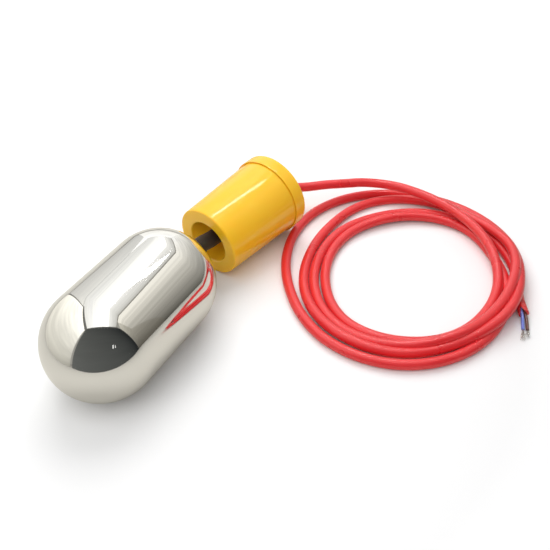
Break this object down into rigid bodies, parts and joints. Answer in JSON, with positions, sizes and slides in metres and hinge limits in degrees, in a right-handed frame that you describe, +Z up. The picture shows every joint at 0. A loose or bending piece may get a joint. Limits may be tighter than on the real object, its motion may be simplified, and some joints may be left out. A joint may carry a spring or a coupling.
{
  "type": "float level switch",
  "caption": "Polished metal capsule float with a ball-operated microswitch, a rubber boot, and a tapered counterweight that slides and turns on its loosely coiled cable.",
  "frame": {"origin": "on the table under the middle of the float and counterweight together", "axes": "+X along the float's axis from its nose to its cable end, +Y to its left, +Z up"},
  "size_m": [0.3068, 0.2473, 0.07],
  "materials": {
    "mirror_steel": "mirror polished stainless steel",
    "turned_steel": "turned stainless steel",
    "brass": "turned brass",
    "black_rubber": "smooth",
    "red_silicone": "satin",
    "blue_silicone": "satin",
    "brown_silicone": "satin",
    "tinned_copper": "bright, twisted strands",
    "yellow_plastic": "moulded, semi-gloss",
    "cast_iron": "as cast",
    "grey_plastic": "moulded",
    "black_plastic": "moulded",
    "white_plastic": "moulded"
  },
  "bodies": {
    "float": {"float_nose_shell": "mirror_steel", "float_tail_shell": "mirror_steel", "neck_boss": "turned_steel", "clamp_washer": "brass", "gland_nut": "brass", "cable_boot": "black_rubber", "switch_carrier": "grey_plastic", "ball_buffer": "black_rubber", "carrier_screws": "turned_steel", "switch_case": "black_plastic", "switch_cover": "black_plastic", "switch_screws": "turned_steel", "terminal_common": "brass", "terminal_open": "brass", "terminal_closed": "brass", "lever_pin": "turned_steel", "blue_inner_core": "blue_silicone", "brown_inner_core": "brown_silicone", "cable_run": "red_silicone", "cable_lead": "red_silicone", "cable_coil": "red_silicone", "cable_tail": "red_silicone", "blue_core": "blue_silicone", "brown_core": "brown_silicone", "blue_strands": "tinned_copper", "brown_strands": "tinned_copper"},
    "ball": {"steel_ball": "turned_steel"},
    "lever": {"switch_lever": "white_plastic"},
    "plunger": {"switch_plunger": "white_plastic"},
    "grip": {"cable_grip": "black_rubber"},
    "counterweight": {"counterweight_shell": "yellow_plastic", "counterweight_cap": "yellow_plastic", "ballast_slug": "cast_iron"}
  },
  "joints": [
    {"name": "ball_roll", "type": "slide", "parent": "float", "child": "ball", "axis": [1, 0, 0], "range_m": [0, 0.01]},
    {"name": "lever_press", "type": "hinge", "parent": "float", "child": "lever", "pos_m": [-0.02597, 0.0016, 0.051], "axis": [0, -1, 0], "range_deg": [-0.5, 28.57]},
    {"name": "plunger_press", "type": "slide", "parent": "float", "child": "plunger", "axis": [-1, 0, 0], "range_m": [-0.0001, 0.0023]},
    {"name": "weight_slide", "type": "slide", "parent": "float", "child": "grip", "axis": [0.981, -0.1836, 0.0624], "range_m": [-0.008, 0.002]},
    {"name": "weight_spin", "type": "hinge", "parent": "grip", "child": "counterweight", "pos_m": [0.0369, 0.0052, 0.0254], "axis": [0.981, -0.1836, 0.0624], "continuous": true}
  ],
  "couplings": [
    {"joint": "lever_press", "follows": "ball_roll", "rad_per_m": 48.996},
    {"joint": "plunger_press", "follows": "ball_roll", "ratio": 0.215}
  ]
}
